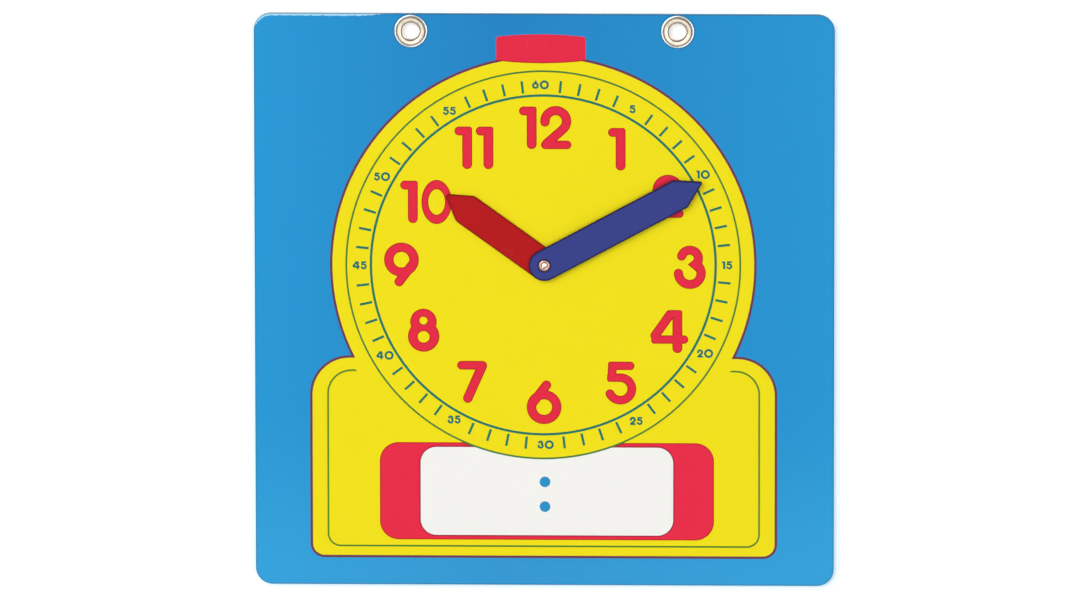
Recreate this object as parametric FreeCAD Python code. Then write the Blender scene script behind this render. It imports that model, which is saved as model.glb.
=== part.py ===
import FreeCAD, Part
import math
import os

# Demonstration clock for teaching the time: a square printed board that hangs by two eyelets,
# with two flat hands that turn by hand on one hollow rivet.
# Millimetres. +X is to the right of someone who reads the clock, +Z points at twelve, and the
# printed face looks towards -Y. The origin is midway between the two hanging eyelets, on the
# plane of the board's back. Depth is counted from that plane towards the reader.

Vector = FreeCAD.Vector

# Board: a core between lining papers. The print stands for its ink and the clear film over it
board_width = 304.8
board_corner_radius = 9.0
core_thickness = 2.0
paper_thickness = 0.15
print_thickness = 0.12

# Hanging points, down from the board's top edge
eyelet_drop = 9.3
eyelet_spacing = 140.0

# Hanging eyelets: a barrel with a domed flange behind, rolled over a washer in front
eyelet_bore_radius = 4.7
eyelet_wall = 0.45
eyelet_flange_radius = 8.75
eyelet_flange_height = 1.0
eyelet_bend_radius = 0.9
eyelet_roll_width = 2.45
eyelet_washer_radius = 8.75
eyelet_washer_thickness = 0.5
eyelet_washer_edge_radius = 0.35
eyelet_clearance = 0.08

# Hollow rivet on which the hands turn: a domed head in front, rolled over a washer behind
rivet_bore_radius = 1.4
rivet_wall = 0.4
rivet_head_radius = 3.1
rivet_head_height = 0.7
rivet_bend_radius = 0.6
rivet_roll_width = 1.4
rivet_clearance = 0.08
back_washer_radius = 5.5
back_washer_thickness = 0.5
back_washer_edge_radius = 0.15
bend_slant = 135.0
corner_slant = 45.0

# Hands and the thin washers that part them
hand_running_clearance = 0.05
hand_axial_play = 0.05
hand_edge_radius = 0.18
hand_tip_radius = 0.4
minute_hand_thickness = 1.0
minute_hand_width = 16.4
minute_hand_point = 12.7
minute_hand_tip_half_width = 0.55
minute_hand_shoulder_radius = 1.5
minute_hand_overreach = 3.35
minute_hand_angle = 61.6
hour_hand_thickness = 1.0
hour_hand_width = 16.6
hour_hand_point = 11.85
hour_hand_tip_half_width = 1.0
hour_hand_shoulder_radius = 4.0
hour_hand_shortfall = 10.3
hour_hand_angle = 305.9
board_washer_radius = 6.5
board_washer_thickness = 0.4
board_washer_edge_radius = 0.18
hand_washer_radius = 5.5
hand_washer_thickness = 0.3
hand_washer_edge_radius = 0.1

# Printed dial: its centre lies a little off the rivet, as the sheet was laid on the board
dial_shift_x = -0.6
dial_shift_z = -0.25
dial_margin = 8.6
outline_width = 1.3
outer_ring_line = 0.95
minute_track_width = 12.95
minute_ring_line = 1.3
tick_gap = 0.95
tick_length = 6.6
tick_width = 1.3
tick_turn = -0.54
minutes_in_hour = 60
minutes_between_numbers = 5

# Printed numbers
minute_number_rise = 5.75
minute_number_height = 4.15
minute_number_stroke = 1.15
minute_number_gap = 0.5
red_edging_width = 0.45

# Printed knob on top of the dial
knob_width = 47.0
knob_shift_x = -1.1
knob_top_margin = 10.8
knob_rise = 11.05
knob_top_bow = 1.2
knob_tuck = 4.4
knob_foot_bow = 1.4
knob_corner_radius = 1.6

# Printed base of the clock: its margins to the board, and how far it stands out beyond the dial
base_side_margin = 29.4
base_foot_margin = 14.4
base_reach = 10.8
base_shift_x = 0.1
base_top_drop = 48.6
base_shoulder_radius = 21.0
base_foot_radius = 7.5
base_line_width = 0.95
base_line_side_inset = 9.0
base_line_top_inset = 7.5
base_line_foot_inset = 5.9
base_line_shoulder_radius = 13.0
base_line_foot_radius = 7.0
base_line_dial_gap = 1.4

# Printed place for writing the time in figures
panel_side_margin = 34.95
panel_foot_margin = 9.8
panel_shift_x = 1.8
panel_rim = 2.5
panel_corner_radius = 10.0
window_side_margin = 21.5
window_height = 47.3
window_tuck = 6.0
window_corner_radius = 8.4
colon_radius = 2.85
colon_shift_x = 0.8
colon_upper_rise = 28.7
colon_lower_rise = 15.4

# Hours: their circle as a share of minute_ring_radius, their height as a share of that circle's
# radius, stroke and gap as shares of the height
hour_circle_share = 0.8097
hour_height_share = 0.3093
hour_stroke_share = 0.2291
hour_gap_share = 0.0837

# Where each hour stands, from the dial's centre, in shares of hour_number_radius
hour_place_shares = {
    "1": (0.527, 0.846),
    "2": (0.894, 0.503),
    "3": (1.050, -0.015),
    "4": (0.903, -0.482),
    "5": (0.556, -0.860),
    "6": (0.005, -1.005),
    "7": (-0.511, -0.853),
    "8": (-0.858, -0.480),
    "9": (-1.016, -0.007),
    "10": (-0.839, 0.458),
    "11": (-0.495, 0.853),
    "12": (0.015, 1.000),
}

# Where each minute number stands, in shares of minute_number_radius
minute_place_shares = {
    "5": (0.487, 0.866),
    "10": (0.871, 0.506),
    "15": (1.002, 0.003),
    "20": (0.883, -0.487),
    "25": (0.507, -0.864),
    "30": (0.012, -0.998),
    "35": (-0.488, -0.860),
    "40": (-0.865, -0.504),
    "45": (-1.002, -0.004),
    "50": (-0.878, 0.488),
    "55": (-0.510, 0.853),
    "60": (-0.014, 0.999),
}

# Digits as a signwriter would draw them, from the middle of the foot, in shares of the height.
# bar: from x, z to x, z. bow: centre x, z, radius, from angle, to angle. Both then give their
# weight, a share of the stroke. patch: corner x, z, corner x, z, corner radius. wedge: corners.
# disc, hole: centre x, z, radius. oval, void: centre x, z, half width, half height.
digit_shares = {
    "1": (
        ("bar", (-0.187, 0.895, 0.0, 0.895, 0.92)),
        ("bar", (0.0, 0.115, 0.0, 0.880, 1.0)),
        ("patch", (-0.115, 0.800, 0.115, 1.000, 0.062)),
    ),
    "2": (
        ("bow", (0.007, 0.656, 0.250, 184.0, -48.0, 0.95)),
        ("bar", (0.174, 0.470, -0.205, 0.130, 0.95)),
        ("bar", (-0.236, 0.101, 0.267, 0.101, 0.88)),
    ),
    "3": (
        ("bow", (0.0, 0.718, 0.198, 163.0, -30.0, 0.94)),
        ("bow", (0.0, 0.370, 0.262, 45.0, -180.0, 0.94)),
        ("wedge", (-0.048, 0.577, 0.150, 0.745, 0.150, 0.410)),
    ),
    "4": (
        ("bar", (0.174, 0.112, 0.174, 0.890, 1.0)),
        ("bar", (-0.330, 0.317, 0.326, 0.317, 0.87)),
        ("bar", (-0.344, 0.410, 0.004, 0.907, 0.95)),
        ("patch", (-0.040, 0.833, 0.288, 1.013, 0.062)),
        ("patch", (-0.432, 0.217, -0.233, 0.458, 0.070)),
    ),
    "5": (
        ("bar", (-0.198, 0.914, 0.211, 0.914, 0.87)),
        ("wedge", (-0.304, 0.925, -0.097, 0.925, -0.115, 0.643, -0.322, 0.604)),
        ("patch", (-0.304, 0.815, -0.123, 1.013, 0.053)),
        ("patch", (-0.326, 0.534, -0.123, 0.731, 0.057)),
        ("bar", (-0.211, 0.634, -0.018, 0.634, 0.87)),
        ("bow", (-0.018, 0.368, 0.266, 90.0, -155.0, 0.90)),
    ),
    "6": (
        ("bow", (0.0, 0.401, 0.293, 0.0, 360.0, 0.96)),
        ("bar", (0.055, 0.921, -0.258, 0.507, 0.96)),
    ),
    "7": (
        ("bar", (-0.260, 0.892, 0.225, 0.892, 0.90)),
        ("bar", (0.220, 0.880, -0.115, 0.115, 0.98)),
    ),
    "8": (
        ("disc", (-0.004, 0.709, 0.308)),
        ("disc", (0.0, 0.366, 0.366)),
        ("hole", (-0.004, 0.736, 0.093)),
        ("hole", (0.0, 0.352, 0.137)),
    ),
    "9": (
        ("bow", (0.0, 0.642, 0.293, 0.0, 360.0, 0.96)),
        ("bar", (-0.055, 0.122, 0.258, 0.536, 0.96)),
    ),
    "0": (
        ("oval", (0.0, 0.500, 0.352, 0.520)),
        ("void", (0.0, 0.500, 0.192, 0.300)),
    ),
    "round 0": (
        ("bow", (0.0, 0.500, 0.440, 0.0, 360.0, 1.0)),
    ),
}

# Worked out from the sizes above
half_turn = 180.0
full_turn = 360.0
base_width = board_width - 2 * base_side_margin
dial_radius = base_width / 2 - base_reach
outer_ring_radius = dial_radius - dial_margin
minute_ring_radius = outer_ring_radius - minute_track_width
minute_number_radius = minute_ring_radius + minute_number_rise
hour_number_radius = hour_circle_share * minute_ring_radius
hour_number_height = hour_height_share * hour_number_radius
hour_number_stroke = hour_stroke_share * hour_number_height
hour_number_gap = hour_gap_share * hour_number_height
knob_top_rise = dial_radius + knob_rise
knob_foot_rise = dial_radius - knob_tuck
window_drop = outer_ring_radius - window_tuck
window_foot_drop = window_drop + window_height
panel_width = base_width - 2 * panel_side_margin
panel_drop = window_drop - panel_rim
panel_height = window_height + 2 * panel_rim
window_width = panel_width - 2 * window_side_margin
base_foot_drop = panel_drop + panel_height + panel_foot_margin
dial_x = dial_shift_x
dial_z = eyelet_drop - knob_top_margin - knob_top_rise
pivot_z = dial_z - dial_shift_z
board_foot = dial_z - base_foot_drop - base_foot_margin
minute_hand_reach = minute_ring_radius + minute_hand_overreach
minute_hand_shoulder = minute_hand_reach - minute_hand_point
hour_hand_reach = hour_number_radius - hour_hand_shortfall
hour_hand_shoulder = hour_hand_reach - hour_hand_point
core_back = paper_thickness
core_front = core_back + core_thickness
paper_front = core_front + paper_thickness
board_front = paper_front + print_thickness
eyelet_neck_radius = eyelet_bore_radius + eyelet_wall
eyelet_hole_radius = eyelet_neck_radius + eyelet_clearance
rivet_neck_radius = rivet_bore_radius + rivet_wall
rivet_hole_radius = rivet_neck_radius + rivet_clearance
hand_hole_radius = rivet_neck_radius + hand_running_clearance
board_washer_front = board_front + board_washer_thickness
hour_hand_back = board_washer_front + hand_axial_play
hour_hand_front = hour_hand_back + hour_hand_thickness
hand_washer_back = hour_hand_front + hand_axial_play
hand_washer_front = hand_washer_back + hand_washer_thickness
minute_hand_back = hand_washer_front + hand_axial_play
minute_hand_front = minute_hand_back + minute_hand_thickness
rivet_head_seat = minute_hand_front + hand_axial_play


def at(x, z):
    """A point of the drawing plane, which is the board's back."""
    return Vector(x, 0, z)


def face_of(edges):
    """The flat face inside a closed run of edges."""
    return Part.Face(Part.Wire(edges))


def disc(x, z, radius):
    """A round face."""
    circle = Part.Circle(at(x, z), Vector(0, -1, 0), radius)
    return face_of([circle.toShape()])


def oval(x, z, half_width, half_height):
    """An upright or lying ellipse."""
    centre = at(x, z)
    side = at(x + half_width, z)
    top = at(x, z + half_height)
    if half_width > half_height:
        curve = Part.Ellipse(side, top, centre)
    else:
        curve = Part.Ellipse(top, side, centre)
    return face_of([curve.toShape()])


def polar(x, z, radius, degrees):
    """The point at an angle on a circle, counted from +X towards +Z."""
    angle = math.radians(degrees)
    return at(x + radius * math.cos(angle), z + radius * math.sin(angle))


def bar(x0, z0, x1, z1, width):
    """A straight stroke with round ends."""
    half = width / 2
    heading = math.degrees(math.atan2(z1 - z0, x1 - x0))
    start_left = polar(x0, z0, half, heading + half_turn / 2)
    start_right = polar(x0, z0, half, heading - half_turn / 2)
    end_left = polar(x1, z1, half, heading + half_turn / 2)
    end_right = polar(x1, z1, half, heading - half_turn / 2)
    return face_of([
        Part.LineSegment(start_left, end_left).toShape(),
        Part.Arc(end_left, polar(x1, z1, half, heading), end_right).toShape(),
        Part.LineSegment(end_right, start_right).toShape(),
        Part.Arc(start_right, polar(x0, z0, half, heading + half_turn), start_left).toShape(),
    ])


def bow(x, z, radius, start, end, width):
    """A curved stroke with round ends, or a whole ring where it goes right round."""
    half = width / 2
    if abs(end - start) >= full_turn:
        return disc(x, z, radius + half).cut(disc(x, z, radius - half))
    middle = (start + end) / 2
    sense = math.copysign(half_turn / 2, end - start)
    first = polar(x, z, radius, start)
    last = polar(x, z, radius, end)
    outer_start = polar(x, z, radius + half, start)
    outer_end = polar(x, z, radius + half, end)
    inner_start = polar(x, z, radius - half, start)
    inner_end = polar(x, z, radius - half, end)
    return face_of([
        Part.Arc(outer_start, polar(x, z, radius + half, middle), outer_end).toShape(),
        Part.Arc(outer_end, polar(last.x, last.z, half, end + sense), inner_end).toShape(),
        Part.Arc(inner_end, polar(x, z, radius - half, middle), inner_start).toShape(),
        Part.Arc(inner_start, polar(first.x, first.z, half, start - sense), outer_start).toShape(),
    ])


def rounded(corners):
    """A face whose outline runs through corners (x, z, radius), each rounded by its radius."""
    count = len(corners)
    edges = []
    leaving = []
    arriving = []
    bends = []
    for number, (x, z, radius) in enumerate(corners):
        here = at(x, z)
        before = at(*corners[number - 1][:2])
        after = at(*corners[(number + 1) % count][:2])
        back = before.sub(here).normalize()
        onward = after.sub(here).normalize()
        half_angle = back.getAngle(onward) / 2
        cut_back = radius / math.tan(half_angle)
        arriving.append(here.add(back * cut_back))
        leaving.append(here.add(onward * cut_back))
        if radius > 0:
            middle = back.add(onward).normalize()
            reach = radius / math.sin(half_angle) - radius
            bends.append(here.add(middle * reach))
        else:
            bends.append(None)
    for number in range(count):
        following = (number + 1) % count
        if bends[number] is not None:
            arc = Part.Arc(arriving[number], bends[number], leaving[number])
            edges.append(arc.toShape())
        line = Part.LineSegment(leaving[number], arriving[following])
        edges.append(line.toShape())
    return face_of(edges)


def box(x0, z0, x1, z1, radius):
    """A rectangle from one corner to the other, with round corners of one radius."""
    return rounded([(x0, z0, radius), (x1, z0, radius), (x1, z1, radius), (x0, z1, radius)])


def shrunk(face, margin):
    """A face drawn in by a margin all round."""
    return face.makeOffset2D(-margin) if margin > 0 else face


def joined(faces):
    """Overlapping faces of one plane merged into one face, by way of thin blocks on them."""
    if len(faces) == 1:
        return faces[0]
    blocks = [face.extrude(Vector(0, print_thickness, 0)) for face in faces]
    block = blocks[0].multiFuse(blocks[1:]).removeSplitter()
    middle = print_thickness / 2
    return Part.makeCompound([face for face in block.Faces if face.BoundBox.YMax < middle])


def sheet(drawing, back, thickness):
    """A flat piece: the drawing given a thickness, its back at a depth from the board's back."""
    solid = drawing.extrude(Vector(0, -thickness, 0))
    solid.translate(Vector(0, -back, 0))
    return solid


def turned(outline, x, z):
    """A round piece: a closed outline of (radius, depth) edges, turned about an axis along Y."""
    face = Part.Face(Part.Wire(outline))
    solid = face.revolve(Vector(0, 0, 0), Vector(0, 1, 0), full_turn)
    solid.translate(at(x, z))
    return solid


def rim(radius, depth):
    """A point of a turned outline: so far from the axis, so far in front of the board's back."""
    return Vector(radius, -depth, 0)


def line(start, end):
    return Part.LineSegment(start, end).toShape()


def arc(start, through, end):
    return Part.Arc(start, through, end).toShape()


def arc_point(centre_radius, centre_depth, radius, degrees, facing):
    """A point of an arc in a turned outline, from straight outwards towards the facing side."""
    angle = math.radians(degrees)
    across = centre_radius + radius * math.cos(angle)
    return rim(across, centre_depth + facing * radius * math.sin(angle))


def hollow_fastener(x, z, bore, wall, flange, flange_height, bend, roll_width,
                    flange_seat, roll_seat):
    """A thin hollow barrel with a domed flange at one end and a rolled lip at the other.

    The flange's rim lies at depth flange_seat, and the lip's edge at depth roll_seat.
    """
    facing = 1 if flange_seat > roll_seat else -1
    neck = bore + wall
    bend_depth = flange_seat + facing * (flange_height - bend)
    bend_centre = bore + bend
    span = flange - bend_centre
    dome = (span ** 2 + flange_height ** 2) / (2 * flange_height)
    dome_depth = flange_seat + facing * (flange_height - dome)
    dome_drop = dome - flange_height
    inner_rim = bend_centre + math.sqrt((dome - wall) ** 2 - dome_drop ** 2)
    outer_slope = math.degrees(math.asin(dome_drop / dome))
    inner_slope = math.degrees(math.asin(dome_drop / (dome - wall)))
    square = half_turn / 2
    roll = roll_width / 2
    roll_centre = bore + roll
    outer_middle = (square + outer_slope) / 2
    inner_middle = (square + inner_slope) / 2
    outline = [
        line(rim(bore, roll_seat), rim(bore, bend_depth)),
        arc(rim(bore, bend_depth), arc_point(bend_centre, bend_depth, bend, bend_slant, facing),
            arc_point(bend_centre, bend_depth, bend, square, facing)),
        arc(arc_point(bend_centre, dome_depth, dome, square, facing),
            arc_point(bend_centre, dome_depth, dome, outer_middle, facing),
            rim(flange, flange_seat)),
        line(rim(flange, flange_seat), rim(inner_rim, flange_seat)),
        arc(rim(inner_rim, flange_seat),
            arc_point(bend_centre, dome_depth, dome - wall, inner_middle, facing),
            arc_point(bend_centre, dome_depth, dome - wall, square, facing)),
        arc(arc_point(bend_centre, bend_depth, bend - wall, square, facing),
            arc_point(bend_centre, bend_depth, bend - wall, bend_slant, facing),
            rim(neck, bend_depth)),
        line(rim(neck, bend_depth), rim(neck, roll_seat)),
        arc(rim(neck, roll_seat), arc_point(roll_centre, roll_seat, roll - wall, square, -facing),
            rim(bore + roll_width - wall, roll_seat)),
        line(rim(bore + roll_width - wall, roll_seat), rim(bore + roll_width, roll_seat)),
        arc(rim(bore + roll_width, roll_seat),
            arc_point(roll_centre, roll_seat, roll, square, -facing), rim(bore, roll_seat)),
    ]
    return turned(outline, x, z)


def washer(x, z, hole, radius, back, thickness, edge_radius, facing=1):
    """A flat ring whose outer edge is eased on the side that shows."""
    near = back if facing > 0 else back + thickness
    far = back + thickness if facing > 0 else back
    eased = far - facing * edge_radius
    centre = radius - edge_radius
    corner = arc_point(centre, eased, edge_radius, corner_slant, facing)
    outline = [
        line(rim(hole, near), rim(radius, near)),
        line(rim(radius, near), rim(radius, eased)),
        arc(rim(radius, eased), corner, rim(centre, far)),
        line(rim(centre, far), rim(hole, far)),
        line(rim(hole, far), rim(hole, near)),
    ]
    return turned(outline, x, z)


def eyelet_places():
    """The two hanging eyelets, named for the reader's left and right."""
    half = eyelet_spacing / 2
    return {"left": -half, "right": half}


def board_holes():
    """The holes through every layer of the board."""
    holes = [disc(x, 0, eyelet_hole_radius) for x in eyelet_places().values()]
    holes.append(disc(0, pivot_z, rivet_hole_radius))
    return holes


def board_outline():
    """The board's outline with its holes."""
    half = board_width / 2
    return box(-half, board_foot, half, eyelet_drop, board_corner_radius).cut(board_holes())


def hand(width, tip, shoulder, shoulder_radius, reach, degrees, back, thickness):
    """A flat hand: a strip with a round end at the rivet and a blunt point, turned clockwise."""
    half = width / 2
    strip = rounded([
        (-half, 0, 0),
        (half, 0, 0),
        (half, shoulder, shoulder_radius),
        (tip, reach, hand_tip_radius),
        (-tip, reach, hand_tip_radius),
        (-half, shoulder, shoulder_radius),
    ])
    outline = joined([strip, disc(0, 0, half)]).cut(disc(0, 0, hand_hole_radius))
    solid = sheet(outline, back, thickness)
    front = -(back + thickness)
    rim_edges = [
        edge for edge in solid.Edges
        if edge.BoundBox.YMax < front + hand_edge_radius
        and edge.BoundBox.DiagonalLength > 2 * rivet_head_radius
    ]
    solid = solid.makeFillet(hand_edge_radius, rim_edges)
    solid.rotate(Vector(0, 0, 0), Vector(0, 1, 0), degrees)
    solid.translate(at(0, pivot_z))
    return solid


def digit(name, height, stroke, margin):
    """One digit on its foot, its outline drawn in by a margin."""
    solid_parts = []
    open_parts = []
    for kind, shares in digit_shares[name]:
        sizes = [share * height for share in shares]
        if kind == "bar":
            width = shares[4] * stroke - 2 * margin
            solid_parts.append(bar(*sizes[:4], width))
        elif kind == "bow":
            width = shares[5] * stroke - 2 * margin
            solid_parts.append(bow(*sizes[:3], shares[3], shares[4], width))
        elif kind == "patch":
            x0, z0, x1, z1, radius = sizes
            solid_parts.append(shrunk(box(x0, z0, x1, z1, radius), margin))
        elif kind == "wedge":
            corners = [(x, z, 0) for x, z in zip(sizes[0::2], sizes[1::2])]
            solid_parts.append(shrunk(rounded(corners), margin))
        elif kind == "disc":
            solid_parts.append(disc(sizes[0], sizes[1], sizes[2] - margin))
        elif kind == "hole":
            open_parts.append(disc(sizes[0], sizes[1], sizes[2] + margin))
        elif kind == "oval":
            solid_parts.append(oval(sizes[0], sizes[1], sizes[2] - margin, sizes[3] - margin))
        else:
            open_parts.append(oval(sizes[0], sizes[1], sizes[2] + margin, sizes[3] + margin))
    drawing = joined(solid_parts)
    return drawing.cut(open_parts) if open_parts else drawing


def number(digits, place, radius, height, stroke, gap, margin=0):
    """Digits set side by side, the middle of the whole at a place in shares of the radius."""
    full = [digit(name, height, stroke, 0) for name in digits]
    inked = [digit(name, height, stroke, margin) for name in digits]
    total = sum(shape.BoundBox.XLength for shape in full) + gap * (len(full) - 1)
    cursor = dial_x + place[0] * radius - total / 2
    foot = dial_z + place[1] * radius - height / 2
    for shape, outer in zip(inked, full):
        shape.translate(at(cursor - outer.BoundBox.XMin, foot))
        cursor += outer.BoundBox.XLength + gap
    return inked


def hour_numbers(margin):
    """The twelve hours, their outlines drawn in by a margin."""
    shapes = []
    for name, place in hour_place_shares.items():
        shapes += number(list(name), place, hour_number_radius, hour_number_height,
                         hour_number_stroke, hour_number_gap, margin)
    return shapes


def minute_numbers():
    """The twelve minute numbers, whose noughts are round."""
    shapes = []
    for name, place in minute_place_shares.items():
        digits = ["round 0" if letter == "0" else letter for letter in name]
        shapes += number(digits, place, minute_number_radius, minute_number_height,
                         minute_number_stroke, minute_number_gap)
    return shapes


def minute_ticks():
    """A tick at each minute that has no number."""
    start = minute_ring_radius + minute_ring_line / 2 + tick_gap
    end = start + tick_length
    half = tick_width / 2
    ticks = []
    for minute in range(minutes_in_hour):
        if minute % minutes_between_numbers == 0:
            continue
        tick = rounded([(-half, start, 0), (half, start, 0), (half, end, 0), (-half, end, 0)])
        turn = full_turn * minute / minutes_in_hour + tick_turn
        tick.rotate(Vector(0, 0, 0), Vector(0, 1, 0), turn)
        tick.translate(at(dial_x, dial_z))
        ticks.append(tick)
    return ticks


def ring(radius, line_width):
    """A printed ring about the dial's centre."""
    return bow(dial_x, dial_z, radius, 0, full_turn, line_width)


def dial_disc(radius):
    return disc(dial_x, dial_z, radius)


def base_outline(side, top, foot, shoulder_radius, foot_radius):
    """The printed base, drawn in by an inset at its sides, top and foot."""
    middle = dial_x + base_shift_x
    half = base_width / 2 - side
    high = dial_z - base_top_drop - top
    low = dial_z - base_foot_drop + foot
    return rounded([
        (middle - half, low, foot_radius),
        (middle + half, low, foot_radius),
        (middle + half, high, shoulder_radius),
        (middle - half, high, shoulder_radius),
    ])


def clock_body(inset):
    """The printed clock: dial and base as one shape, drawn in by an inset."""
    base = base_outline(inset, inset, inset, base_shoulder_radius - inset, base_foot_radius - inset)
    return joined([dial_disc(dial_radius - inset), base])


def base_line():
    """The fine line that follows the base inside its edge and stops short of the dial."""
    width = base_line_width
    outer = base_outline(base_line_side_inset, base_line_top_inset, base_line_foot_inset,
                         base_line_shoulder_radius, base_line_foot_radius)
    inner = base_outline(base_line_side_inset + width, base_line_top_inset + width,
                         base_line_foot_inset + width, base_line_shoulder_radius - width,
                         base_line_foot_radius - width)
    return outer.cut([inner, dial_disc(dial_radius + base_line_dial_gap)])


def knob():
    """The red knob on top of the dial, with a bowed top and foot."""
    middle = dial_x + knob_shift_x
    half = knob_width / 2
    top = dial_z + knob_top_rise
    foot = dial_z + knob_foot_rise
    left = middle - half
    right = middle + half
    corner = knob_corner_radius
    high = top - knob_top_bow
    low = foot + knob_foot_bow
    diagonal = corner * math.cos(math.radians(corner_slant))
    return face_of([
        line(at(left, low), at(left, high - corner)),
        arc(at(left, high - corner),
            at(left + corner - diagonal, high - corner + diagonal), at(left + corner, high)),
        arc(at(left + corner, high), at(middle, top), at(right - corner, high)),
        arc(at(right - corner, high),
            at(right - corner + diagonal, high - corner + diagonal), at(right, high - corner)),
        line(at(right, high - corner), at(right, low)),
        arc(at(right, low), at(middle, foot), at(left, low)),
    ])


def readout(width, height, drop, radius, margin=0):
    """A round-cornered field below the dial, covered by the dial's own disc at its top."""
    middle = dial_x + panel_shift_x
    half = width / 2 - margin
    top = dial_z - drop - margin
    low = dial_z - drop - height + margin
    field = box(middle - half, low, middle + half, top, radius - margin)
    return field.cut(dial_disc(outer_ring_radius + outer_ring_line / 2 + margin))


def colon_dots():
    """The two dots between hours and minutes."""
    foot = dial_z - window_foot_drop
    rises = (colon_upper_rise, colon_lower_rise)
    return [disc(dial_x + colon_shift_x, foot + rise, colon_radius) for rise in rises]


def print_drawings():
    """The printed colours as drawings that meet edge to edge and never overlap."""
    holes = board_holes()
    hours = hour_numbers(0)
    hours_inside = hour_numbers(red_edging_width)
    minutes = minute_numbers()
    ticks = minute_ticks()
    outer_ring = ring(outer_ring_radius, outer_ring_line)
    minute_ring = ring(minute_ring_radius, minute_ring_line)
    body = clock_body(0)
    body_inside = clock_body(outline_width)
    top_knob = knob()
    knob_lifted = top_knob.copy()
    knob_lifted.translate(at(0, red_edging_width))
    panel = readout(panel_width, panel_height, panel_drop, panel_corner_radius)
    panel_inside = readout(panel_width, panel_height, panel_drop, panel_corner_radius,
                           red_edging_width)
    window = readout(window_width, window_height, window_drop, window_corner_radius)
    dots = colon_dots()
    line_work = base_line()
    knob_edging = top_knob.cut(knob_lifted)
    panel_edging = panel.cut([panel_inside, window])
    hour_edging = [outer.cut(inner) for outer, inner in zip(hours, hours_inside)]
    on_yellow = hours + minutes + ticks + [outer_ring, minute_ring, top_knob, panel, window,
                                           line_work]
    return {
        "print_blue_ground": board_outline().cut([body, top_knob]),
        "print_body_outline": body.cut([body_inside, top_knob]),
        "print_yellow_body": body_inside.cut(on_yellow + holes),
        "print_knob": top_knob.cut(knob_edging),
        "print_hour_numbers": Part.makeCompound(hours_inside),
        "print_red_edging": Part.makeCompound(hour_edging + [knob_edging, panel_edging]),
        "print_minute_ring": minute_ring,
        "print_outer_ring": outer_ring,
        "print_minute_ticks": Part.makeCompound(ticks),
        "print_minute_numbers": Part.makeCompound(minutes),
        "print_base_line": line_work,
        "print_readout_panel": panel.cut([panel_edging, window]),
        "print_readout_window": window.cut(dots),
        "print_colon_dots": Part.makeCompound(dots),
    }


def board_pieces():
    """The layers of the board: core, lining papers, and the print under its clear film."""
    outline = board_outline()
    pieces = {
        "back_paper": sheet(outline, 0, paper_thickness),
        "board_core": sheet(outline, core_back, core_thickness),
        "front_paper": sheet(outline, core_front, paper_thickness),
    }
    for name, drawing in print_drawings().items():
        pieces[name] = sheet(drawing, paper_front, print_thickness)
    return pieces


def eyelet_pieces():
    """The two hanging eyelets, each a barrel and the washer that it is rolled over."""
    pieces = {}
    for side, x in eyelet_places().items():
        pieces[side + "_eyelet_barrel"] = hollow_fastener(
            x, 0, eyelet_bore_radius, eyelet_wall, eyelet_flange_radius, eyelet_flange_height,
            eyelet_bend_radius, eyelet_roll_width, 0, board_front + eyelet_washer_thickness)
        pieces[side + "_eyelet_washer"] = washer(
            x, 0, eyelet_hole_radius, eyelet_washer_radius, board_front,
            eyelet_washer_thickness, eyelet_washer_edge_radius)
    return pieces


def pivot_pieces():
    """The rivet, its washers and the two hands."""
    return {
        "pivot_rivet": hollow_fastener(
            0, pivot_z, rivet_bore_radius, rivet_wall, rivet_head_radius, rivet_head_height,
            rivet_bend_radius, rivet_roll_width, rivet_head_seat, -back_washer_thickness),
        "rivet_back_washer": washer(
            0, pivot_z, rivet_hole_radius, back_washer_radius, -back_washer_thickness,
            back_washer_thickness, back_washer_edge_radius, -1),
        "board_washer": washer(
            0, pivot_z, rivet_hole_radius, board_washer_radius, board_front,
            board_washer_thickness, board_washer_edge_radius),
        "hand_washer": washer(
            0, pivot_z, rivet_hole_radius, hand_washer_radius, hand_washer_back,
            hand_washer_thickness, hand_washer_edge_radius),
        "hour_hand": hand(
            hour_hand_width, hour_hand_tip_half_width, hour_hand_shoulder,
            hour_hand_shoulder_radius, hour_hand_reach, hour_hand_angle,
            hour_hand_back, hour_hand_thickness),
        "minute_hand": hand(
            minute_hand_width, minute_hand_tip_half_width, minute_hand_shoulder,
            minute_hand_shoulder_radius, minute_hand_reach, minute_hand_angle,
            minute_hand_back, minute_hand_thickness),
    }


def main():
    os.makedirs("parts", exist_ok=True)
    pieces = {}
    pieces.update(board_pieces())
    pieces.update(eyelet_pieces())
    pieces.update(pivot_pieces())
    for name, shape in pieces.items():
        shape.exportStep(os.path.join("parts", name + ".step"))
        print(name, len(shape.Solids), "solids, valid:", shape.isValid())


main()
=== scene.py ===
import bpy
import numpy as np
from mathutils import Matrix, Vector


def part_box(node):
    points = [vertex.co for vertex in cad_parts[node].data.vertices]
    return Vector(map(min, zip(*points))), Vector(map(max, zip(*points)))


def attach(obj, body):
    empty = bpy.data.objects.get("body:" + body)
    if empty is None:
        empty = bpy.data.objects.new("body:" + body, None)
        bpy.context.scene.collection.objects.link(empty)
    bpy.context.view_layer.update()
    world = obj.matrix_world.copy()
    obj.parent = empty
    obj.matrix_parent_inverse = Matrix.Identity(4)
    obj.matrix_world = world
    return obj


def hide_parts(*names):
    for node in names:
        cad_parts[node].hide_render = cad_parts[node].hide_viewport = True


# Demonstration clock for teaching the time: a printed card with two flat hands on a hollow rivet.
# Metres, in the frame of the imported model: +X to the reader's right, +Z to twelve, the face to -Y.

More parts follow.
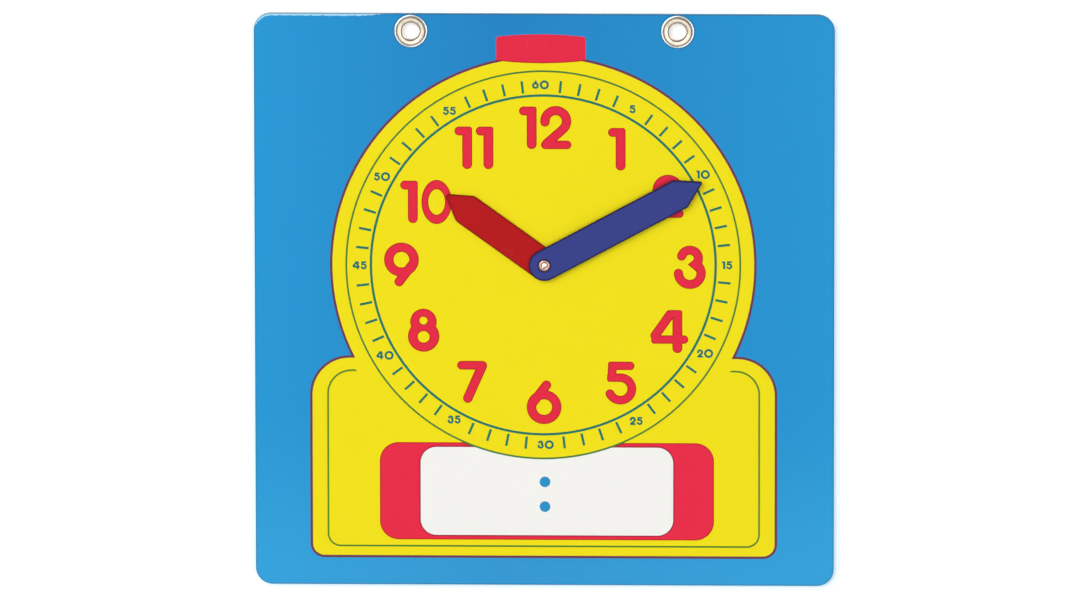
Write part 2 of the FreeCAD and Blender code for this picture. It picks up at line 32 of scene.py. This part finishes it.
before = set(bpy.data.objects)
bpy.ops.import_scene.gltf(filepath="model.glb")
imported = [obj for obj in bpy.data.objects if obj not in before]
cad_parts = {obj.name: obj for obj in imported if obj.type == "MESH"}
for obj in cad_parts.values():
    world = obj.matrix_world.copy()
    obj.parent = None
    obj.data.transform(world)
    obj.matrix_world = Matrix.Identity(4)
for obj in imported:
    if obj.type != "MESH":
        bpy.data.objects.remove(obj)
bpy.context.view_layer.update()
MM = 0.001

card_low, card_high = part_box("board_core")
rivet_low, rivet_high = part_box("pivot_rivet")
rivet_place = ((rivet_low.x + rivet_high.x) / 2, (rivet_low.z + rivet_high.z) / 2)
left_low, left_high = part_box("left_eyelet_barrel")
left_place = ((left_low.x + left_high.x) / 2, (left_low.z + left_high.z) / 2)
right_place = (-left_place[0], left_place[1])
CARD_MIDDLE_Z = (card_high.z + card_low.z) / 2
CARD_CORNER = 9.0 * MM
window_low, window_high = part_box("print_readout_window")
WINDOW_CORNER = 8.4 * MM

# Each hand: its turn at rest in radians, then in mm half its width, half its tip's width, and how
# far its straight sides and its tip lie from the rivet's axis
HOUR_TURN = -np.radians(305.9)
HOUR_OUTLINE = (8.3, 1.0, 63.1 - 11.85, 63.1)
MINUTE_TURN = -np.radians(61.6)
MINUTE_OUTLINE = (8.2, 0.55, 94.0 - 12.7, 94.0)

# Where painted shade, grime and the pressed dish begin and end, in mm from an eyelet's axis
LIP_MOUTH = (5.0, 5.6)
LIP_FALL = (6.8, 7.05)
GROOVE_INNER = (7.1, 7.3)
GROOVE_OUTER = (7.5, 7.75)
EYELET_SHADE = (8.7, 10.0)
EYELET_DISH = (8.0, 11.5)

# The same in mm from the rivet's axis: painted shade at its head's edge and on the hub round it, and
# the light down its bore
HEAD_SHADE = (2.55, 3.0)
HUB_SHADE = (3.0, 4.1)
BORE_LIGHT = (3.0, 6.0)

# The same in mm inside an outline: a hand's painted dark rim of shade, and the soiled edge of the
# lining paper
HAND_RIM_SHADE = (0.45, 1.15)
PAPER_SOIL = (0.5, 6.0)


def srgb(red, green, blue):
    """A colour given in 0 to 255 steps, turned into linear light."""
    picked = np.array([red, green, blue]) / 255
    linear = np.where(picked <= 0.04045, picked / 12.92, ((picked + 0.055) / 1.055) ** 2.4)
    return tuple(float(part) for part in linear) + (1.0,)


def shade_of(ink, share):
    """An ink made lighter (share over 1) or darker, with no part above full."""
    return tuple(min(1.0, part * share) for part in ink[:3]) + (1.0,)


class Wire:
    """A number or colour that runs between shader nodes, with sums written as Python."""

    def __init__(self, finish, socket):
        self.finish = finish
        self.socket = socket

    def sum(self, operation, first, second=None):
        sockets = {0: first} if second is None else {0: first, 1: second}
        return self.finish.node("ShaderNodeMath", {"operation": operation}, sockets)

    def __add__(self, other):
        return self.sum("ADD", self, other)

    def __radd__(self, other):
        return self.sum("ADD", other, self)

    def __sub__(self, other):
        return self.sum("SUBTRACT", self, other)

    def __rsub__(self, other):
        return self.sum("SUBTRACT", other, self)

    def __mul__(self, other):
        return self.sum("MULTIPLY", self, other)

    def __rmul__(self, other):
        return self.sum("MULTIPLY", other, self)

    def __truediv__(self, other):
        return self.sum("DIVIDE", self, other)

    def __pow__(self, other):
        return self.sum("POWER", self, other)

    def __abs__(self):
        return self.sum("ABSOLUTE", self)

    def most(self, other):
        return self.sum("MAXIMUM", self, other)

    def least(self, other):
        return self.sum("MINIMUM", self, other)

    def ramp(self, low, high):
        """0 below low, 1 above high, and an eased climb between."""
        return self.finish.node("ShaderNodeMapRange", {"interpolation_type": "SMOOTHSTEP"},
                                {"Value": self, "From Min": low, "From Max": high})


class Finish:
    """The node tree of one material, or of the world, while it is drawn up."""

    def __init__(self, owner):
        owner.use_nodes = True
        self.owner = owner
        self.tree = owner.node_tree
        self.tree.nodes.clear()

    def node(self, kind, settings=None, sockets=None, output=0):
        """Adds a node: its settings first, then its sockets by number or name."""
        made = self.tree.nodes.new(kind)
        for key, value in (settings or {}).items():
            setattr(made, key, value)
        for place, value in (sockets or {}).items():
            if isinstance(value, Wire):
                self.tree.links.new(value.socket, made.inputs[place])
            elif value is not None:
                made.inputs[place].default_value = value
        return Wire(self, made.outputs[output]) if len(made.outputs) else None

    def place(self):
        """Where the point lies on the object, in metres, as a vector."""
        return self.node("ShaderNodeTexCoord", output="Object")

    def along(self, axis, vector=None):
        """One part of a vector; of the point's place unless another is given."""
        vector = self.place() if vector is None else vector
        return self.node("ShaderNodeSeparateXYZ", None, {0: vector}, axis)

    def grown(self, stretch, turn=0.0):
        """The point's place turned about Y, then stretched along X, Y and Z, for a pattern."""
        turned = self.node("ShaderNodeMapping", None,
                           {"Vector": self.place(), "Rotation": (0.0, turn, 0.0)})
        return self.node("ShaderNodeMapping", None, {"Vector": turned, "Scale": stretch})

    def noise(self, scale, detail=2.0, roughness=0.5, vector=None):
        """Cloudy noise about 0.5, with so many lumps to the metre."""
        vector = self.place() if vector is None else vector
        return self.node("ShaderNodeTexNoise", None,
                         {"Vector": vector, "Scale": scale, "Detail": detail,
                          "Roughness": roughness})

    def mix(self, share, first, second):
        """A colour between two colours."""
        return self.node("ShaderNodeMix", {"data_type": "RGBA"},
                         {0: share, 6: first, 7: second}, 2)

    def blend(self, share, first, second):
        """A shader between two shaders."""
        return self.node("ShaderNodeMixShader", None, {0: share, 1: first, 2: second})

    def bump(self, height, strength, distance, under=None):
        """A surface normal shaken by a height map."""
        return self.node("ShaderNodeBump", None,
                         {"Strength": strength, "Distance": distance, "Height": height,
                          "Normal": under})

    def surface(self, sockets):
        """The closing shader of a material on the object."""
        self.close(self.node("ShaderNodeBsdfPrincipled", None, sockets))
        return self.owner

    def close(self, shader, kind="ShaderNodeOutputMaterial"):
        """Sends a shader to the output."""
        self.node(kind, None, {"Surface": shader})


def new_finish(name):
    return Finish(bpy.data.materials.new(name))


def plate_depth(finish, low, high, corner):
    """How far inside a round-cornered rectangle a point lies, in millimetres.

    The signed distance to it: the length of what (|x|, |z|) has beyond the inner corner, plus the
    larger of the two where both fall short of it, less the corner's radius.
    """
    across = abs(finish.along("X") - (low.x + high.x) / 2) - ((high.x - low.x) / 2 - corner)
    up = abs(finish.along("Z") - (low.z + high.z) / 2) - ((high.z - low.z) / 2 - corner)
    beyond_x = across.most(0.0)
    beyond_z = up.most(0.0)
    beyond = (beyond_x * beyond_x + beyond_z * beyond_z) ** 0.5
    short = across.most(up).least(0.0)
    return (corner - beyond - short) / MM


def edge_depth(finish):
    """How far inside the card's outline a point lies, in millimetres."""
    return plate_depth(finish, card_low, card_high, CARD_CORNER)


def from_point(finish, place):
    """Distance in the card's plane from a point, in millimetres."""
    across = finish.along("X") - place[0]
    up = finish.along("Z") - place[1]
    return (across * across + up * up) ** 0.5 / MM


def from_eyelet(finish):
    """Distance in the card's plane from the axis of the nearer eyelet, in millimetres."""
    return from_point(finish, left_place).least(from_point(finish, right_place))


def hand_depth(finish, turn, outline):
    """How far inside a hand's outline a point lies, in millimetres.

    In the hand's own frame, u across it and v along it from the rivet, this is the least of three:
    half - sqrt(u^2 + min(v, 0)^2) to its sides and round end, the distance square to the slant
    from (half, shoulder) to (tip, reach), and reach - v to its blunt tip.
    """
    half, tip, shoulder, reach = outline
    centred = finish.node("ShaderNodeMapping", None, {
        "Vector": finish.place(), "Location": (-rivet_place[0], 0.0, -rivet_place[1])})
    turned = finish.node("ShaderNodeMapping", None,
                         {"Vector": centred, "Rotation": (0.0, turn, 0.0)})
    across = abs(finish.along("X", turned)) / MM
    along = finish.along("Z", turned) / MM
    behind = along.least(0.0)
    side = half - (across * across + behind * behind) ** 0.5
    rise = reach - shoulder
    drop = half - tip
    run = (rise * rise + drop * drop) ** 0.5
    slant = ((half - across) * rise + (shoulder - along) * drop) / run
    return side.least(slant).least(reach - along)


def scratches(finish, turn, reach, width, cut):
    """Fine straight scratches: noise drawn out long one way, and kept only at its crests."""
    lines = finish.noise(1.0, 2.0, 0.6, finish.grown((1 / reach, 1 / reach, 1 / width), turn))
    patches = finish.noise(45.0, 1.0)
    return lines.ramp(cut, cut + 0.03) * patches.ramp(0.5, 0.62)


def film_scuffs(finish):
    """Wear of the clear film over the print: three families of hair scratches, hardly there."""
    family = scratches(finish, 0.4, 0.02, 0.00022, 0.70)
    for turn, cut in ((-0.9, 0.71), (1.35, 0.72)):
        family = family.most(scratches(finish, turn, 0.016, 0.0002, cut))
    return family


def film_normal(finish):
    """The film's skin: faint orange peel, and a shallow dish pressed round each eyelet."""
    peel = finish.noise(420.0, 2.0, 0.5)
    waves = finish.noise(28.0, 1.0, 0.4)
    near = from_eyelet(finish)
    skin = finish.bump(peel, 0.05, 0.00025)
    skin = finish.bump(waves, 0.12, 0.0008, skin)
    return finish.bump(near.ramp(*EYELET_DISH), 0.35, 0.0005, skin)


def film_over(finish, colour, scuffs, dulled=0.0):
    """Clear satin film over a printed colour."""
    rough = 0.27 + scuffs * 0.25 + finish.noise(60.0, 3.0, 0.6) * 0.08 + dulled
    return finish.surface({"Base Color": colour, "Roughness": rough, "IOR": 1.5,
                           "Specular IOR Level": 0.12, "Normal": film_normal(finish)})


def printed(name, ink, drift=0.04, trim=None):
    """Offset print under film: an ink laid a little unevenly, hair scratches, clean edges."""
    finish = new_finish(name)
    cloud = finish.noise(22.0, 3.0, 0.55) * 0.8
    grain = finish.noise(2600.0, 1.0, 0.5) * 0.2
    colour = finish.mix(cloud + grain, shade_of(ink, 1 - drift), shade_of(ink, 1 + drift))
    if trim:
        colour = trim(finish, colour)
    scuffs = film_scuffs(finish)
    colour = finish.mix(scuffs * 0.06, colour, srgb(250, 250, 248))
    return film_over(finish, colour, scuffs)


def window_line(finish, colour):
    """The dark hairline where the red stops at the white writing place."""
    depth = plate_depth(finish, window_low, window_high, WINDOW_CORNER)
    return finish.mix(depth.ramp(-0.85, -0.35) * 0.8, colour, srgb(118, 20, 58))


def blue_ground(name):
    """The card's blue with painted light: lighter to the sides and foot as the light fell, painted
    shade round the eyelets, darker along its edge, worn at its edges.
    """
    finish = new_finish(name)
    x = finish.along("X")
    # Painted light: the blue is darker up the middle and top, lighter to the sides and foot, as the
    # light fell on the card
    side = (abs(x + 0.022) * 5.5 - x).least(1.0)
    high = finish.mix(side, srgb(32, 128, 193), srgb(36, 153, 213))
    low = finish.mix(side, srgb(52, 151, 209), srgb(51, 163, 220))
    colour = finish.mix(finish.along("Z").ramp(-0.305, -0.19), low, high)
    cloud = finish.noise(9.0, 3.0, 0.5) * 0.8 + finish.noise(2600.0, 1.0, 0.5) * 0.2
    colour = finish.mix(cloud * 0.07, colour, srgb(62, 170, 226))
    # Painted shade: the blue darkened in a ring just round each eyelet
    ring_shade = 1.0 - from_eyelet(finish).ramp(*EYELET_SHADE)
    colour = finish.mix(ring_shade * 0.4, colour, srgb(28, 88, 130))
    scuffs = film_scuffs(finish)
    colour = finish.mix(scuffs * 0.08, colour, srgb(236, 244, 248))
    depth = edge_depth(finish)
    chips = finish.noise(520.0, 3.0, 0.7)
    # Chipped edges show pale paper; along the top edge at the left the pale band is wider and light
    # blue
    top_left = finish.along("Z").ramp(0.0, 0.006) * (1.0 - x.ramp(-0.10, -0.075))
    bite = depth + chips * 1.6 - 0.35 - top_left * 1.5
    chipped = 1.0 - bite.ramp(0.10, 0.30)
    pale_edge = finish.mix(top_left, srgb(226, 232, 232), srgb(164, 218, 243))
    colour = finish.mix(chipped, colour, pale_edge)
    # Darker along the card's edge, in a narrower band at the top left
    edge_darkening = 1.0 - depth.ramp(0.15, 0.95 - top_left * 0.5)
    colour = finish.mix(edge_darkening * 0.55, colour, srgb(34, 92, 128))
    return film_over(finish, colour, scuffs, chipped * 0.4)


def lining_paper(name):
    """Matt white lining paper: short fibres, a few specks, soiled a little towards its edges."""
    finish = new_finish(name)
    fibres = finish.noise(1.0, 3.0, 0.6, finish.grown((900.0, 400.0, 260.0), 0.5))
    crossed = finish.noise(1.0, 3.0, 0.6, finish.grown((850.0, 400.0, 240.0), -0.8))
    cloud = finish.noise(14.0, 4.0, 0.6)
    colour = finish.mix(fibres * 0.5 + crossed * 0.5, srgb(214, 212, 204), srgb(238, 237, 231))
    colour = finish.mix(cloud.ramp(0.45, 0.75) * 0.35, colour, srgb(216, 211, 198))
    specks = finish.noise(700.0, 1.0).ramp(0.74, 0.78)
    colour = finish.mix(specks * 0.5, colour, srgb(160, 150, 132))
    soil = 1.0 - edge_depth(finish).ramp(*PAPER_SOIL)
    colour = finish.mix(soil * 0.25, colour, srgb(188, 182, 168))
    skin = finish.bump(fibres * 0.6 + crossed * 0.4, 0.25, 0.0002)
    return finish.surface({"Base Color": colour, "Roughness": 0.72 + cloud * 0.16, "Normal": skin,
                           "Specular IOR Level": 0.2})


def greyboard(name):
    """The cut edge of pressed fibre board: thin plies along the card, flecked brown and grey."""
    finish = new_finish(name)
    plies = finish.noise(1.0, 3.0, 0.6, finish.grown((60.0, 5200.0, 60.0)))
    flecks = finish.noise(1900.0, 2.0, 0.7)
    colour = finish.mix(plies, srgb(130, 126, 118), srgb(176, 172, 164))
    colour = finish.mix(flecks.ramp(0.5, 0.75) * 0.5, colour, srgb(196, 190, 178))
    colour = finish.mix((1.0 - flecks.ramp(0.25, 0.4)) * 0.6, colour, srgb(92, 88, 82))
    skin = finish.bump(plies * 0.7 + flecks * 0.3, 0.6, 0.0003)
    return finish.surface({"Base Color": colour, "Roughness": 0.86 + flecks * 0.1, "Normal": skin,
                           "Specular IOR Level": 0.2})


def groove_shade_and_grime(finish):
    """Painted shade and grime in the groove between an eyelet's rolled lip and its washer's bead."""
    distance = from_eyelet(finish)
    return distance.ramp(*GROOVE_INNER) * (1.0 - distance.ramp(*GROOVE_OUTER))


def lip_shade(finish):
    """Painted shade, dark brown, in an eyelet's mouth and round the outer fall of its lip."""
    distance = from_eyelet(finish)
    return (1.0 - distance.ramp(*LIP_MOUTH)).most(distance.ramp(*LIP_FALL)) * 0.75


def rivet_rim_shade(finish):
    """Painted shade on the outer edge of the rivet's head."""
    return from_point(finish, rivet_place).ramp(*HEAD_SHADE)


def plated(name, metal, tarnish, rough, rub, shade_and_grime=None):
    """Thin bright plate on a pressed ring: tarnished in patches, finely pitted, and where a mask is
    given, darkened with painted shade and grime.
    """
    finish = new_finish(name)
    cloud = finish.noise(380.0, 3.0, 0.6)
    fine = finish.noise(2400.0, 2.0, 0.6)
    colour = finish.mix(cloud.ramp(0.45, 0.8) * rub, metal, tarnish)
    colour = finish.mix(fine.ramp(0.62, 0.8) * 0.35, colour, tarnish)
    roughness = rough + cloud * 0.12 + fine.ramp(0.5, 0.8) * 0.12
    if shade_and_grime:
        # Painted shade, with grime in the eyelets' groove: dark brown where the mask says
        shade_and_dirt = shade_and_grime(finish)
        colour = finish.mix(shade_and_dirt * 0.8, colour, srgb(96, 74, 58))
        roughness = roughness + shade_and_dirt * 0.3
    skin = finish.bump(fine * 0.5 + cloud * 0.5, 0.10, 0.0001)
    return finish.surface({"Base Color": colour, "Metallic": 1.0, "Roughness": roughness,
                           "Normal": skin})


def sheet_hand(name, tone, deep, rim_shade_colour, turn, outline):
    """Smooth sheet plastic: faint roller lines and scratches, with a painted dark rim of shade along
    its outline and painted shade round the hub.
    """
    finish = new_finish(name)
    cloud = finish.noise(35.0, 3.0, 0.5)
    lines = finish.noise(1.0, 2.0, 0.5, finish.grown((2200.0, 400.0, 40.0), turn))
    colour = finish.mix(cloud * 0.7 + lines * 0.3, deep, tone)
    wear = scratches(finish, turn + 0.5, 0.018, 0.0002, 0.69)
    wear = wear.most(scratches(finish, turn - 1.0, 0.012, 0.00018, 0.70))
    colour = finish.mix(wear * 0.10, colour, srgb(235, 232, 236))
    # Painted shade: a dark rim along the hand's outline
    rim_shade = 1.0 - hand_depth(finish, turn, outline).ramp(*HAND_RIM_SHADE)
    colour = finish.mix(rim_shade * 0.85, colour, rim_shade_colour)
    # Painted shadow: near black on the hand round the rivet's head
    ring_shade = 1.0 - from_point(finish, rivet_place).ramp(*HUB_SHADE)
    colour = finish.mix(ring_shade * 0.8, colour, shade_of(deep, 0.12))
    rough = 0.36 + wear * 0.2 + lines * 0.08 + ring_shade * 0.2
    skin = finish.bump(lines, 0.05, 0.0002, finish.bump(cloud, 0.08, 0.0006))
    return finish.surface({"Base Color": colour, "Roughness": rough, "Normal": skin, "IOR": 1.5,
                           "Specular IOR Level": 0.12})


def fibre_washer(name):
    """Pale vulcanised fibre, slightly mottled."""
    finish = new_finish(name)
    cloud = finish.noise(900.0, 3.0, 0.6)
    colour = finish.mix(cloud, srgb(196, 190, 172), srgb(222, 217, 202))
    return finish.surface({"Base Color": colour, "Roughness": 0.6 + cloud * 0.2,
                           "Normal": finish.bump(cloud, 0.2, 0.0001)})


finishes = {
    "blue ground": blue_ground("blue_ground_print"),
    "dot blue": printed("dot_blue_print", srgb(38, 143, 200)),
    "yellow": printed("yellow_print", srgb(241, 224, 22), 0.015),
    "knob red": printed("knob_red_print", srgb(228, 41, 70), 0.03),
    "panel red": printed("panel_red_print", srgb(231, 42, 71), 0.03, window_line),
    "number red": printed("number_red_print", srgb(227, 41, 68), 0.03),
    "edging": printed("edging_print", srgb(172, 20, 8), 0.06),
    "outline": printed("outline_print", srgb(108, 56, 84), 0.06),
    "teal": printed("teal_print", srgb(28, 118, 96), 0.05),
    "number teal": printed("number_teal_print", srgb(24, 112, 104), 0.05),
    "green": printed("green_print", srgb(70, 126, 58), 0.05),
    "base line": printed("base_line_print", srgb(84, 132, 44), 0.05),
    "white": printed("white_field_print", srgb(243, 242, 238), 0.008),
    "paper": lining_paper("lining_paper"),
    "greyboard": greyboard("greyboard_core"),
    "brass": plated("eyelet_barrel_plate", srgb(234, 222, 202), srgb(154, 128, 98), 0.26, 0.45,
                    lip_shade),
    "nickel": plated("eyelet_washer_plate", srgb(232, 236, 236), srgb(168, 166, 154), 0.20, 0.35,
                     groove_shade_and_grime),
    "rivet": plated("rivet_plate", srgb(196, 156, 138), srgb(112, 78, 64), 0.22, 0.5, rivet_rim_shade),
    "steel": plated("back_collar_plate", srgb(214, 214, 210), srgb(150, 144, 132), 0.26, 0.5),
    "fibre": fibre_washer("fibre_washer"),
    # Each hand's third colour is its painted dark rim of shade
    "hour": sheet_hand("hour_hand_plastic", srgb(184, 19, 24), srgb(177, 16, 21),
                       srgb(128, 14, 0), HOUR_TURN, HOUR_OUTLINE),
    "minute": sheet_hand("minute_hand_plastic", srgb(56, 65, 139), srgb(51, 60, 131),
                         srgb(26, 14, 34), MINUTE_TURN, MINUTE_OUTLINE),
}

node_finishes = {
    "back_paper": "paper",
    "board_core": "greyboard",
    "front_paper": "paper",
    "print_blue_ground": "blue ground",
    "print_body_outline": "outline",
    "print_yellow_body": "yellow",
    "print_knob": "knob red",
    "print_hour_numbers": "number red",
    "print_red_edging": "edging",
    "print_minute_ring": "teal",
    "print_outer_ring": "green",
    "print_minute_ticks": "teal",
    "print_minute_numbers": "number teal",
    "print_base_line": "base line",
    "print_readout_panel": "panel red",
    "print_readout_window": "white",
    "print_colon_dots": "dot blue",
    "left_eyelet_barrel": "brass",
    "left_eyelet_washer": "nickel",
    "right_eyelet_barrel": "brass",
    "right_eyelet_washer": "nickel",
    "pivot_rivet": "rivet",
    "rivet_back_washer": "steel",
    "board_washer": "fibre",
    "hand_washer": "fibre",
    "hour_hand": "hour",
    "minute_hand": "minute",
}
for node, finish_name in node_finishes.items():
    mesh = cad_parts[node].data
    mesh.materials.clear()
    mesh.materials.append(finishes[finish_name])


# The pressed metal rings, in place of the plain solids: radius and depth in mm from each axis

def bow(centre, radii, start, end, steps=14):
    """Points of an ellipse's arc: centre + radii * (cos a, sin a), a in degrees."""
    angle = np.radians(np.linspace(start, end, steps))[:, None]
    return np.array(centre) + np.array(radii) * np.hstack([np.cos(angle), np.sin(angle)])


def ring_piece(name, stands_for, finish, place, profile, steps=144):
    """A closed profile of (radius, depth) carried once round an axis along Y.

    Point (r, d) at angle u lies at (x + r sin u, -d, z + r cos u). Both ways round are closed,
    and the faces are turned outwards by the sign of the volume that they enclose.
    """
    radius, depth = np.vstack(profile).T * MM
    angle = np.linspace(0, 2 * np.pi, steps, endpoint=False)[:, None]
    across = place[0] + radius * np.sin(angle)
    up = place[1] + radius * np.cos(angle)
    points = np.stack([across, np.broadcast_to(-depth, across.shape), up], axis=2).reshape(-1, 3)
    here = np.arange(steps * len(radius)).reshape(steps, len(radius))
    onward = np.roll(here, -1, axis=0)
    quads = np.stack([here, np.roll(here, -1, axis=1), np.roll(onward, -1, axis=1), onward], axis=2)
    quads = quads.reshape(-1, 4)
    first, second, third, fourth = (points[quads[:, corner]] for corner in range(4))
    volume = np.sum(first * np.cross(second, third)) + np.sum(first * np.cross(third, fourth))
    if volume < 0:
        quads = quads[:, ::-1]
    mesh = bpy.data.meshes.new(name)
    mesh.from_pydata(points.tolist(), [], quads.tolist())
    mesh.polygons.foreach_set("use_smooth", np.ones(len(quads), dtype=bool))
    mesh.set_sharp_from_angle(angle=0.9)
    mesh.materials.append(finishes[finish])
    piece = bpy.data.objects.new(name, mesh)
    bpy.context.scene.collection.objects.link(piece)
    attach(piece, "board")
    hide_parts(stands_for)
    return piece


# Depths in mm in front of the card's back: the print, the washer on it, and the rivet head's seat
PRINT_DEPTH = 2.42
COLLAR_DEPTH = 2.92
RIVET_SEAT = 5.32
EYELET_BORE = 4.7
EYELET_NECK = 5.15
RIVET_BORE = 1.4
RIVET_NECK = 1.8

# Barrel: a rounded bore, a broad flat lip, a quick fall to the washer, and a domed flange behind
LIP_START = 5.8
LIP_END = 6.85
eyelet_barrel = [
    bow((LIP_START, 3.0), (LIP_START - EYELET_BORE, 1.04), 180, 90, 20),
    [(6.15, 4.08), (6.5, 4.1)],
    bow((LIP_END, 3.63), (0.43, 0.46), 90, -20, 14),
    [(7.05, COLLAR_DEPTH), (EYELET_NECK, COLLAR_DEPTH), (EYELET_NECK, 0.0)],
    bow((5.6, 0.0), (3.15, 1.0), 0, -90, 18),
    bow((5.6, -0.1), (5.6 - EYELET_BORE, 0.9), -98, -180, 12),
]

# Washer: a flat seat under the barrel's lip, a drawn groove, and a beaded outer edge
eyelet_collar = [
    [(5.23, PRINT_DEPTH), (5.23, COLLAR_DEPTH), (6.95, COLLAR_DEPTH)],
    bow((6.95, 2.72), (0.2, 0.2), 80, 10, 5),
    [(7.25, 2.6), (7.6, 2.54)],
    bow((8.2, 2.52), (0.5, 0.4), 172, 90, 10),
    bow((8.2, 2.46), (0.55, 0.46), 84, 0, 10),
    [(8.75, PRINT_DEPTH)],
]

# Rivet: a hollow round head in front, and a small lip turned out over its washer behind
rivet_profile = [
    bow((2.2, 5.42), (2.2 - RIVET_BORE, 0.6), 180, 90, 12),
    bow((2.2, RIVET_SEAT), (0.9, 0.7), 84, 0, 14),
    [(RIVET_NECK, RIVET_SEAT), (RIVET_NECK, -0.5)],
    bow((2.1, -0.5), (0.7, 0.7), 0, -180, 20),
]
back_collar = [
    [(1.88, 0.0), (5.5, 0.0)],
    bow((5.2, -0.2), (0.3, 0.3), 0, -90, 8),
    [(4.6, -0.46), (3.6, -0.4), (3.1, -0.5), (1.88, -0.5)],
]

for side, place in (("left", left_place), ("right", right_place)):
    ring_piece(side + "_eyelet_lip", side + "_eyelet_barrel", "brass", place,
               eyelet_barrel)
    ring_piece(side + "_eyelet_collar", side + "_eyelet_washer", "nickel", place,
               eyelet_collar)
ring_piece("hollow_rivet", "pivot_rivet", "rivet", rivet_place, rivet_profile, 96)
ring_piece("rivet_back_collar", "rivet_back_washer", "steel", rivet_place,
           back_collar, 96)


# The set: a pale floor under the card and a pale wall close behind it, both seen from one side

WHITE = (1.0, 1.0, 1.0, 1.0)
COOL = (0.25, 0.7, 1.0, 1.0)
COOL_BAND = (-24.0, -8.0)


def set_paint(name, tone, glow, solid_for_light, behind_card=False):
    """Pale matt paint, see-through from behind, and lifted to white for the camera.

    Behind the card the lift is cool close round its outline, and bright down the rivet's bore.
    """
    finish = new_finish(name)
    tint = WHITE
    if behind_card:
        depth = edge_depth(finish)
        cool = depth.ramp(*COOL_BAND) * (1.0 - depth.ramp(0.5, 2.0))
        tint = finish.mix(cool, WHITE, COOL)
        glow = glow + (1.0 - from_point(finish, rivet_place).ramp(*BORE_LIGHT)) * 0.7
    camera = finish.node("ShaderNodeLightPath", output="Is Camera Ray")
    front = 1.0 - finish.node("ShaderNodeNewGeometry", output="Backfacing")
    paint = finish.node("ShaderNodeBsdfDiffuse", None, {"Color": (tone, tone, tone, 1.0)})
    shine = finish.node("ShaderNodeEmission", None, {"Color": tint, "Strength": glow})
    lit = finish.node("ShaderNodeAddShader", None, {0: paint, 1: shine})
    clear = finish.node("ShaderNodeBsdfTransparent")
    if solid_for_light:
        finish.close(finish.blend(front, clear, finish.blend(camera, paint, lit)))
    else:
        finish.close(finish.blend(front * camera, clear, lit))
    return finish.owner


def set_sheet(name, corners, paint):
    """A flat four-cornered piece of the set."""
    mesh = bpy.data.meshes.new(name)
    mesh.from_pydata(corners, [], [(0, 1, 2, 3)])
    piece = bpy.data.objects.new(name, mesh)
    bpy.context.scene.collection.objects.link(piece)
    mesh.materials.append(paint)


WALL_Y = 0.0002
FLOOR_Z = -0.62
FLOOR_FRONT = -1.2
SPREAD = 3.0
set_sheet("wall", [(-SPREAD, WALL_Y, FLOOR_Z), (SPREAD, WALL_Y, FLOOR_Z), (SPREAD, WALL_Y, SPREAD),
                   (-SPREAD, WALL_Y, SPREAD)], set_paint("wall_paint", 0.96, 0.3, False, True))
set_sheet("floor", [(-SPREAD, FLOOR_FRONT, FLOOR_Z), (SPREAD, FLOOR_FRONT, FLOOR_Z),
                    (SPREAD, SPREAD, FLOOR_Z), (-SPREAD, SPREAD, FLOOR_Z)],
          set_paint("floor_paint", 0.55, 0.6, True))


def soft_lamp(name, place, width, height, power):
    """A rectangular soft box that faces the middle of the card."""
    lamp = bpy.data.lights.new(name, "AREA")
    lamp.shape = "RECTANGLE"
    lamp.size = width
    lamp.size_y = height
    lamp.energy = power
    holder = bpy.data.objects.new(name, lamp)
    holder.location = place
    towards = Vector((0.0, 0.0, CARD_MIDDLE_Z)) - Vector(place)
    holder.rotation_euler = towards.to_track_quat("-Z", "Y").to_euler()
    bpy.context.scene.collection.objects.link(holder)


soft_lamp("key", (-2.3, -3.6, 1.7), 4.2, 4.0, 162.0)
soft_lamp("fill", (2.3, -4.1, -0.15), 3.0, 2.6, 62.0)
soft_lamp("back", (1.6, 3.0, 1.1), 2.0, 1.6, 60.0)

# The world is white to look at and to mirror straight on; to the sides, metal sees a dim studio
world = bpy.data.worlds.new("studio")
bpy.context.scene.world = world
sky = Finish(world)
facing = sky.along("Y", sky.node("ShaderNodeTexCoord", output="Generated"))
bright = facing.ramp(0.0, 0.35).most(1.0 - facing.ramp(-0.88, -0.62))
seen = sky.node("ShaderNodeLightPath", output="Is Camera Ray")
mirrored = sky.node("ShaderNodeLightPath", output="Is Glossy Ray")
through = sky.node("ShaderNodeLightPath", output="Is Transmission Ray")
spill = 0.24 + facing.ramp(-0.15, 0.35) * 0.4
strength = spill.most(bright * mirrored * 0.85).most(seen).most(through)
sky.close(sky.node("ShaderNodeBackground", None, {"Color": WHITE, "Strength": strength}),
          "ShaderNodeOutputWorld")

# A long lens, a little above the card, as in the photograph
LENS = 572.0
CAMERA_PLACE = (0.2264, -8.8615, 1.5577)
CAMERA_RIGHT = (0.9997, 0.0256, -0.0011)
CAMERA_ONWARD = (-0.0253, 0.9818, -0.1884)
camera_data = bpy.data.cameras.new("camera")
camera_data.sensor_width = 36.0
camera_data.lens = LENS
camera_data.clip_start = 0.1
camera_data.clip_end = 60.0
camera = bpy.data.objects.new("camera", camera_data)
right = Vector(CAMERA_RIGHT)
onward = Vector(CAMERA_ONWARD)
up = right.cross(onward).normalized()
onward = up.cross(right).normalized()
turned = Matrix((right.normalized(), up, -onward)).transposed()
camera.matrix_world = Matrix.Translation(CAMERA_PLACE) @ turned.to_4x4()
bpy.context.scene.collection.objects.link(camera)
bpy.context.scene.camera = camera
bpy.context.scene.view_settings.view_transform = "Standard"
